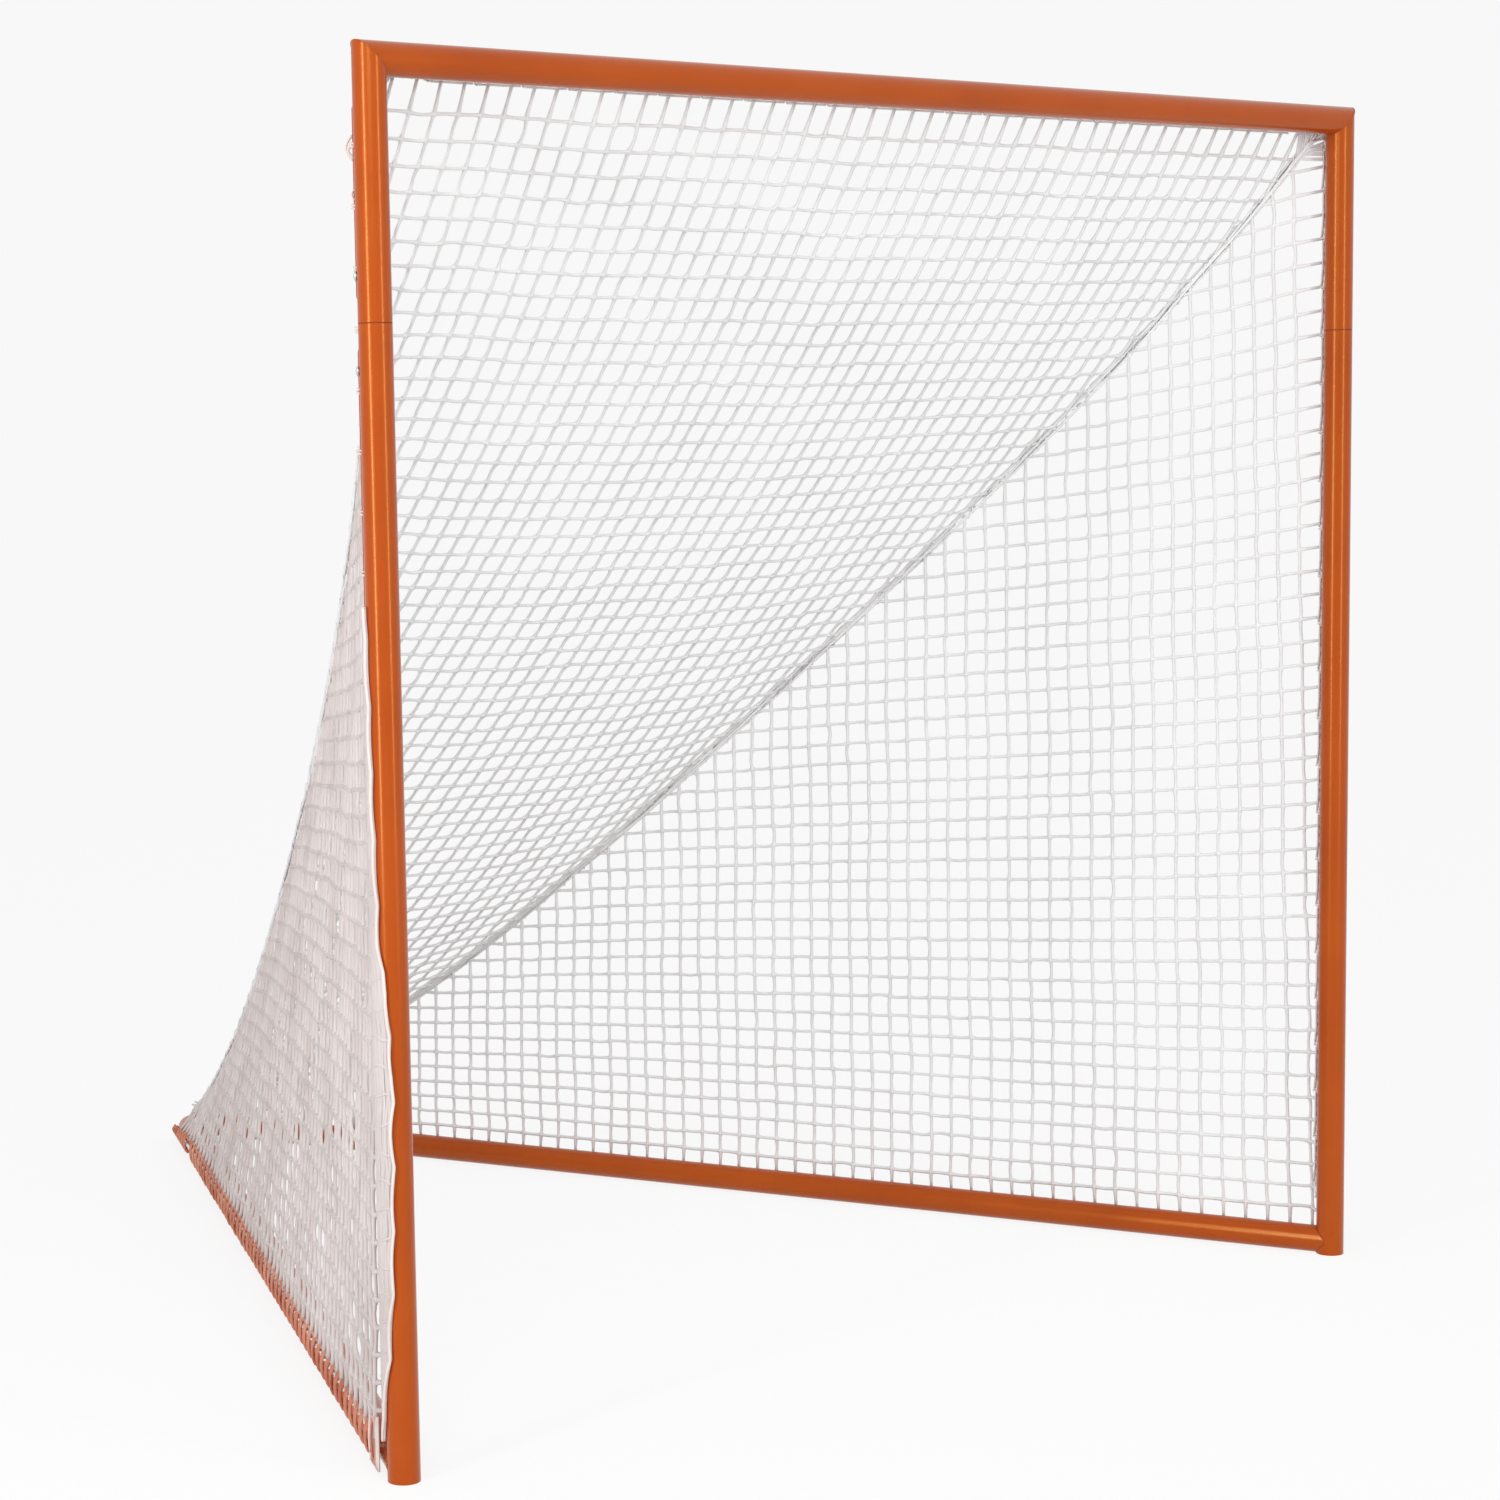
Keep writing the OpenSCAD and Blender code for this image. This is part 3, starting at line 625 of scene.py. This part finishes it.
def rope(name, start, end, node_name):
    """A straight two-strand rope."""
    path = np.asarray([start, end], float)
    bag = Bag()
    length = np.concatenate([[0], np.cumsum(np.linalg.norm(np.diff(path, axis=0), axis=1))])
    at = np.linspace(0, length[-1], max(8, int(length[-1] / ROPE_STEP)))
    line = np.stack([np.interp(at, length, path[:, k]) for k in range(3)], -1)
    way = np.gradient(line, axis=0)
    way /= np.linalg.norm(way, axis=1)[:, None]
    ref = np.array([0, 0, 1.0]) if abs(way[0][2]) < 0.9 else np.array([1.0, 0, 0])
    s = np.cross(way, ref)
    s /= np.linalg.norm(s, axis=1)[:, None]
    o = np.cross(s, way)
    for phase in (0, math.pi):
        ang = at / ROPE_LAY * 2 * np.pi + phase
        off = (s * np.cos(ang)[:, None] + o * np.sin(ang)[:, None]) * EDGE_R * ROPE_STRAND_OFF
        bag.tube(line + off, EDGE_R * ROPE_STRAND_R)
    finish_piece(bag.make(name, SEAM), node_name)


rope("top_edge", (-RIDGE_TOP[0], TOP_CORD[1], TOP_CORD[2]),
     (RIDGE_TOP[0], TOP_CORD[1], TOP_CORD[2]), "top_edge_cord")
for side, word in SIDES:
    rope(word + "_post_edge", by_post(*POST_CORD, POST_START, side),
         by_post(*POST_CORD, SIDE_TOP, side), word + "_post_edge_cord")
    rope(word + "_base_edge", base_point(RAIL_START, side),
         base_point(REAR_START + REAR_RUN, side), word + "_base_edge_cord")


# ---- lacing ----
LACE_R = 0.0015
RAIL_LACE_R = 0.0019
LACE_ROOM = 0.0006
MOST_TURNS = 24
WRAP_STEPS = 12          # points in one wrap
WRAP_PITCH = 0.0042
WRAP_JITTER = 0.0004
WRAP_FROM = 0.30         # where the wraps of a turn begin, as a share of its run
RUN_AT = (0.35, 0.6, 0.8)
RUN_OFF = 0.001
# the rails and the rear bars are wrapped more closely than the posts and the crossbar
CLOSE = {"wraps": 4, "r": RAIL_LACE_R, "material": RAIL_LACE}


def lacing(name, run, place, far, nodes, loose, close=1, wraps=2, r=LACE_R, material=LACE):
    """Lacing round a bar and the cord beside it. place maps (along, a, b) to a point."""
    turns = min(MOST_TURNS, int(run / (2 * MESH) / 2) * 2) * close
    pitch = run / turns
    near, far = np.array((BAR_OFF, 0)), np.array(far)
    mid = (near + far) / 2
    way = (far - near) / np.linalg.norm(far - near)
    across = np.array([-way[1], way[0]])
    half_long = np.linalg.norm(far - near) / 2 + BAR_R + r + LACE_ROOM
    half_wide = BAR_R + r + LACE_ROOM
    pts = []
    for k in range(turns):
        extra = loose * rng.random() ** 3
        first = (k + WRAP_FROM) * pitch
        # close wraps, then a run on to the next mesh
        for w in range(wraps):
            for f in np.linspace(0, 1, WRAP_STEPS + 1)[:-1]:
                ang = 2 * np.pi * f
                c = (mid + way * math.cos(ang) * (half_long + extra * 0.4)
                     + across * math.sin(ang) * (half_wide + extra * (w == 0)))
                along = first + (w + f) * WRAP_PITCH + rng.normal(0, WRAP_JITTER)
                pts.append(place(along, c[0], c[1]))
        for f in RUN_AT:
            c = mid + way * (half_long + RUN_OFF)
            along = first + WRAP_PITCH * wraps + (pitch - WRAP_PITCH * wraps) * f
            pts.append(place(along, c[0], c[1]))
    bag = Bag()
    bag.tube(pts, r)
    finish_piece(bag.make(name, material), *nodes, slot="lace_cord")


def on_crossbar(x, a, b):
    """a is out from the tube's axis towards the bar, and b turns with it."""
    y = a * math.cos(BAR_TURN) + b * math.sin(BAR_TURN)
    z = -a * math.sin(BAR_TURN) + b * math.cos(BAR_TURN)
    return np.array([x - CROSS_RUN / 2, y, BAR_Z + z])


TOP_TURN = SLOPE - BAR_TURN
lacing("lace_crossbar", CROSS_RUN, on_crossbar,
       (BAR_OFF + CORD_STEP * math.cos(TOP_TURN), -CORD_STEP * math.sin(TOP_TURN)),
       ("crossbar_lace",), loose=0.002)
for side, word in SIDES:
    def on_post(x, a, b, side=side):
        return by_post(a, b, POST_START + x, side)

    def on_rail(x, a, b, side=side):
        return by_rail(RAIL_START + x, a, b, side)

    def on_rear(x, a, b, side=side):
        sunk = edge_step(REAR_START + x, side) / edge_step(0, side)
        return by_rail(REAR_START + x, a, b * sunk, side)

    rail_cord = (BAR_OFF, edge_step(0, side))
    lacing("lace_" + word + "_post", POST_RUN, on_post, POST_CORD,
           (word + "_post_lace",), loose=0.0015)
    lacing("lace_" + word + "_rail", RAIL_RUN, on_rail, rail_cord,
           (word + "_rail_lace",), loose=0.002, close=2, **CLOSE)
    lacing("lace_" + word + "_rear", REAR_RUN, on_rear, rail_cord,
           (), loose=0.001, close=3, **CLOSE)


# ---- how the net is dressed: corners, loose loops, the lacing's tail and the flap ----
GATHER_R = 0.0019
FAN_CORDS = 13
FAN_SPAN = 0.045         # how far the fan spreads down the post and along the crossbar
FAN_RISE = 0.010         # how far over the side net's top it starts
FAN_IN = 0.012           # how far inside the post's axis it starts
FAN_ROOT = (0.002, 0.012)   # where on the ridge it is gathered: its start and its run
FAN_BOW = 0.0015


def corner_fan(side, word):
    """The net's corner under the crossbar, where its last cords are gathered to the ridge."""
    bag = Bag()
    for k in range(FAN_CORDS):
        f = k / (FAN_CORDS - 1)
        for end in (by_post(*POST_CORD, SIDE_TOP + FAN_RISE - FAN_SPAN * f, side),
                    np.array([side * (POST_X - FAN_IN - FAN_SPAN * f), TOP_CORD[1], TOP_CORD[2]])):
            root = ridge(FAN_ROOT[0] + FAN_ROOT[1] * f, side)
            bag.tube(blended(root, end, rng.normal(0, FAN_BOW, 3), 7), GATHER_R)
    finish_piece(bag.make("net_corner_" + word, NET))


def bunch(name, middle, spread, count):
    """Gathered net in a corner: short cords that cross each other."""
    bag = Bag()
    middle, spread = np.array(middle), np.array(spread)
    for _ in range(count):
        a = rng.uniform(-1, 1, 3) * spread
        b = -a * rng.uniform(0.5, 1.0) + rng.normal(0, 0.2, 3) * spread
        bow = rng.normal(0, 0.35, 3) * spread
        bag.tube(middle + blended(a, b, bow, 9), GATHER_R)
    finish_piece(bag.make(name, NET))


for side, word in SIDES:
    corner_fan(side, word)
bunch("net_bunch_rear", (0, APEX_Y - 0.012, 2 * TUBE_R + 0.016), (0.016, 0.014, 0.012), 14)

# slack turns of the lacing on the upper left post: height, reach and width of each
LOOPS = ((1.742, 0.0090, 0.030), (1.738, 0.0065, 0.016), (1.683, 0.0032, 0.014))
LOOP_WAY = np.array([-0.84, 0.54, 0])
LOOP_R = LACE_R * 1.4


def loose_loops():
    bag = Bag()
    f = np.linspace(0, 1, 15)[:, None]
    arch = np.sin(np.pi * f) ** 0.8
    for height, reach, wide in LOOPS:
        root = by_post(BAR_OFF, -BAR_R, height, -1)
        bag.tube(root + LOOP_WAY * reach * arch + np.array([0, 0, 1.0]) * wide * (f - 0.5), LOOP_R)
    finish_piece(bag.make("lace_loops_left_post", LACE), slot="lace_cord")


loose_loops()

# the lacing's tail, wound down the foot of the left side, in two colours by turns
TAIL_TURNS = 12
TAIL_FROM = 0.020
TAIL_PITCH = 0.0052
TAIL_DROP = 0.014        # how far below the rail's axis it reaches
TAIL_TOP = 0.034         # how far above the edge cord it starts
TAIL_TAPER = 0.0012      # how much lower each turn starts than the last
TAIL_BOW = 0.0012


def lace_tail(word, first, material):
    bag = Bag()
    for k in range(first, TAIL_TURNS, 2):
        foot = base_point(TAIL_FROM + TAIL_PITCH * k, -1)
        top = foot + (0, 0, TAIL_TOP - TAIL_TAPER * k)
        foot[2] = RAIL_Z - TAIL_DROP
        bag.tube(blended(foot, top, rng.normal(0, TAIL_BOW, 3), 7), RAIL_LACE_R)
    finish_piece(bag.make("lace_tail_" + word, material), slot="lace_cord")


# even turns take the pale lace cord, odd turns the salmon rail lace cord
lace_tail("pale", 0, LACE)
lace_tail("salmon", 1, RAIL_LACE)

# heights along the left post, and how many degrees round it the net's edge reaches there
FLAP_Z = (0.055, 0.11, 0.17, 0.25, 0.35, 0.55, 0.66, 0.72, 0.85, 1.00, 1.16)
FLAP_TURN = (62, 88, 112, 127, 136, 142, 130, 112, 102, 96, 86)
FLAP_FROM = 52           # degrees round the post at which it starts
FLAP_SCALLOP = 7         # degrees by which its edge falls back between ties
FLAP_TIE = 0.086         # height between ties
FLAP_OFF = 0.0024
FLAP_CORDS = 13
FLAP_FILLERS = 5         # cords between the post's edge cord and the flap
FLAP_CORD_R = 0.0023
FLAP_EDGE_R = 0.0022


def on_flap(z, f, lift=0.0):
    """A point on the left post's outside: f is 0 at the flap's start and 1 at its edge."""
    edge = np.interp(z, FLAP_Z, FLAP_TURN) - FLAP_SCALLOP * abs(math.sin(math.pi * z / FLAP_TIE))
    a = math.radians(FLAP_FROM + (edge - FLAP_FROM) * f)
    r = TUBE_R + FLAP_OFF + lift
    return np.array([-POST_X - r * math.sin(a), r * math.cos(a), z])


def post_flap():
    """The side net's front edge, pulled round the outside of the lower left post."""
    bag = Bag()
    zs = np.linspace(FLAP_Z[0], FLAP_Z[-1], 170)
    for k in range(FLAP_CORDS):
        f = (k + 0.5) / FLAP_CORDS
        bag.tube([on_flap(z, f + 0.030 * math.sin(z * 31 + 2.2 * k), 0.0006 * (k % 2))
                  for z in zs], FLAP_CORD_R)
    for k in range(FLAP_FILLERS):
        f = (k + 0.5) / FLAP_FILLERS
        bag.tube([by_post(*POST_CORD, z, -1) * (1 - f)
                  + on_flap(z, 0, 0.001 + 0.001 * math.sin(z * 47 + k)) * f
                  for z in zs], FLAP_CORD_R)
    z = FLAP_Z[0] + 0.012
    while z < FLAP_Z[-1]:
        path = [on_flap(z + 0.003 * math.sin(7 * f + z * 40), f, 0.0018)
                for f in np.linspace(0, 1, 10)]
        start = by_post(*POST_CORD, z, -1) + (0, 0.004, 0)
        bag.tube([start] + path, GATHER_R)
        z += MESH
    # the flap takes the cord copy with painted shade and painted orange reflected light
    finish_piece(bag.make("net_left_flap", NET_PAINTED_SHADE))
    edge = Bag()
    edge.tube([on_flap(z, 1.0 + 0.02 * math.sin(z * 50), 0.0026)
               for z in np.linspace(FLAP_Z[0], FLAP_Z[-1], 260)], FLAP_EDGE_R)
    finish_piece(edge.make("net_left_flap_edge", LACE), slot="lace_cord")


post_flap()

# ---- hard parts keep their CAD shapes and get their finish ----
FINISH = {
    "lacing_bar": ROD, "pegs": ROD, "sleeve": SLEEVE, "screws": SCREW,
    "crossbar": PAINT, "stub": PAINT, "post": PAINT, "rail": PAINT, "bend": PAINT,
}
for name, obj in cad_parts.items():
    for key, mat in FINISH.items():
        if key in name:
            obj.data.materials.clear()
            obj.data.materials.append(mat)
            break

# ---- welds and joint lines ----
# a bead's middle line, as a share of the tube's radius
TOP_WELD_SUNK = 0.985
FOOT_WELD_SUNK = 0.995
TOP_WELD_R = 0.0012
TOP_WELD_RIPPLES = 64
TOP_WELD_TAPER = 0.75    # how much thinner the bead is at the mitre's two points
FOOT_WELD_R = 0.0010
FOOT_WELD_RIPPLES = 60
FOOT_WELD_OFF = 0.0006
RIPPLE = 0.10
LINE_R = 0.0007
LINE_DEPTH = 0.0006
LINE_STEPS = 64


def top_weld(side, word):
    """Bead along the ellipse where the crossbar and a stub meet in a mitre."""
    n = TOP_WELD_RIPPLES * 3
    ang = np.linspace(0, 2 * np.pi, n + 1)
    diag = TUBE_R * TOP_WELD_SUNK
    long_axis, short_axis = np.array([side * diag, 0, diag]), np.array([0, diag, 0])
    path = (np.array([side * POST_X, 0, BAR_Z]) + np.outer(np.cos(ang), long_axis)
            + np.outer(np.sin(ang), short_axis))
    ripple = ((1 + RIPPLE * np.sin(ang * TOP_WELD_RIPPLES) + rng.normal(0, 0.02, n + 1))
              * (1 - TOP_WELD_TAPER * np.cos(ang) ** 8))
    ripple[-1] = ripple[0]
    bag = Bag()
    bag.tube(path, TOP_WELD_R * ripple, sides=8, up=np.cross(long_axis, short_axis),
             closed_ends=False)
    finish_piece(bag.make("weld_top_" + word, WELD), slot="frame_paint")


def foot_weld(side, word):
    """Bead along the saddle where a base rail is coped onto its post."""
    along = RAIL_WAY * np.array([side, 1, 1])
    across = RAIL_OUT * np.array([side, 1, 1])
    ang = np.linspace(0, 2 * np.pi, 181)
    wide = TUBE_R * FOOT_WELD_SUNK * np.cos(ang)
    deep = np.sqrt((TUBE_R + WELD_GAP) ** 2 - wide ** 2) + FOOT_WELD_OFF
    path = (np.array([side * POST_X, 0, RAIL_Z]) + np.outer(deep, along)
            + np.outer(wide, across))
    path[:, 2] += TUBE_R * FOOT_WELD_SUNK * np.sin(ang)
    bag = Bag()
    bag.tube(path, FOOT_WELD_R * (1 + RIPPLE * np.sin(ang * FOOT_WELD_RIPPLES)), sides=8,
             closed_ends=False)
    finish_piece(bag.make("weld_foot_" + word, WELD), slot="frame_paint")


def joint_line(side, word):
    """The fine dark seam round a post."""
    ang = np.linspace(0, 2 * np.pi, LINE_STEPS + 1)
    r = TUBE_R - LINE_DEPTH
    path = np.stack([side * POST_X + r * np.cos(ang), r * np.sin(ang),
                     np.full(LINE_STEPS + 1, SEAM_H)], -1)
    bag = Bag()
    bag.tube(path, LINE_R, closed_ends=False)
    finish_piece(bag.make("joint_line_" + word, GROOVE), slot="frame_paint")


for side, word in SIDES:
    top_weld(side, word)
    foot_weld(side, word)
    joint_line(side, word)

# ---- floor, world and lights ----
FLOOR_HALF = 30
FLOOR_GREY = 0.82
FLOOR_GLOW = 1.045       # how bright the floor is to a ray that sees it
FLOOR_GLOW_SHARE = 0.80  # the rest of it is lit, and holds the shadow
SKY_SEEN = 0.939
# the studio is brightest in front and to the left, and dimmer behind and to the right
SKY_BRIGHT_WAY = (-0.45, -0.89, -0.08)
SKY_DIM, SKY_BRIGHT = 0.26, 1.02
WHITE = (1, 1, 1, 1)


def seen_ray(nodes, links):
    """1 for camera, glossy and transmission rays, and 0 for the rest."""
    path = nodes.new("ShaderNodeLightPath")
    two = math_node(nodes, "ADD")
    links.new(path.outputs["Is Camera Ray"], two.inputs[0])
    links.new(path.outputs["Is Glossy Ray"], two.inputs[1])
    three = math_node(nodes, "ADD")
    three.use_clamp = True
    links.new(two.outputs[0], three.inputs[0])
    links.new(path.outputs["Is Transmission Ray"], three.inputs[1])
    return three.outputs[0]


def floor():
    mesh = bpy.data.meshes.new("floor")
    s = FLOOR_HALF
    mesh.from_pydata([(-s, -s, 0), (s, -s, 0), (s, s, 0), (-s, s, 0)], [], [(0, 1, 2, 3)])
    obj = bpy.data.objects.new("floor", mesh)
    bpy.context.scene.collection.objects.link(obj)
    mat = bpy.data.materials.new("floor_white")
    mat.use_nodes = True
    nodes, links = mat.node_tree.nodes, mat.node_tree.links
    nodes.clear()
    out = nodes.new("ShaderNodeOutputMaterial")
    diffuse = nodes.new("ShaderNodeBsdfDiffuse")
    diffuse.inputs["Color"].default_value = (FLOOR_GREY, FLOOR_GREY, FLOOR_GREY, 1)
    glow = nodes.new("ShaderNodeEmission")
    glow.inputs["Color"].default_value = WHITE
    glow.inputs["Strength"].default_value = FLOOR_GLOW
    mix = nodes.new("ShaderNodeMixShader")
    share = math_node(nodes, "MULTIPLY", FLOOR_GLOW_SHARE)
    links.new(seen_ray(nodes, links), share.inputs[0])
    links.new(share.outputs[0], mix.inputs["Fac"])
    links.new(diffuse.outputs["BSDF"], mix.inputs[1])
    links.new(glow.outputs["Emission"], mix.inputs[2])
    links.new(mix.outputs["Shader"], out.inputs["Surface"])
    mesh.materials.append(mat)


def studio():
    world = bpy.data.worlds.new("studio")
    world.use_nodes = True
    scene.world = world
    nodes, links = world.node_tree.nodes, world.node_tree.links
    nodes.clear()
    out = nodes.new("ShaderNodeOutputWorld")
    soft = nodes.new("ShaderNodeBackground")
    soft.inputs["Color"].default_value = WHITE
    seen = nodes.new("ShaderNodeBackground")
    seen.inputs["Color"].default_value = WHITE
    seen.inputs["Strength"].default_value = SKY_SEEN
    way = nodes.new("ShaderNodeVectorMath")
    way.operation = "DOT_PRODUCT"
    way.inputs[1].default_value = SKY_BRIGHT_WAY
    links.new(nodes.new("ShaderNodeTexCoord").outputs["Generated"], way.inputs[0])
    grade = nodes.new("ShaderNodeMapRange")
    grade.inputs["From Min"].default_value = -1
    grade.inputs["From Max"].default_value = 1
    grade.inputs["To Min"].default_value = SKY_DIM
    grade.inputs["To Max"].default_value = SKY_BRIGHT
    links.new(way.outputs["Value"], grade.inputs["Value"])
    links.new(grade.outputs["Result"], soft.inputs["Strength"])
    mix = nodes.new("ShaderNodeMixShader")
    links.new(seen_ray(nodes, links), mix.inputs["Fac"])
    links.new(soft.outputs["Background"], mix.inputs[1])
    links.new(seen.outputs["Background"], mix.inputs[2])
    links.new(mix.outputs["Shader"], out.inputs["Surface"])


def softbox(name, at, target, width, height, power):
    data = bpy.data.lights.new(name, "AREA")
    data.shape = "RECTANGLE"
    data.size, data.size_y = width, height
    data.energy = power
    obj = bpy.data.objects.new(name, data)
    obj.location = at
    obj.rotation_euler = (Vector(target) - Vector(at)).to_track_quat("-Z", "Y").to_euler()
    scene.collection.objects.link(obj)


floor()
scene = bpy.context.scene
scene.view_settings.view_transform = "Standard"
studio()
softbox("key_left", (-4.9, -0.9, 1.80), (-0.9, 0, 1.5), width=0.45, height=3.0, power=84)
softbox("fill_front", (0.6, -4.8, 1.85), (-0.9, 0, 1.5), width=0.30, height=3.0, power=52)
softbox("near_left", (-2.3, -1.7, 2.5), (-0.9, 0, 1.75), width=0.8, height=0.8, power=12)
softbox("top", (-0.6, -0.8, 4.6), (0, 0.8, 0.6), width=3.0, height=3.0, power=3)
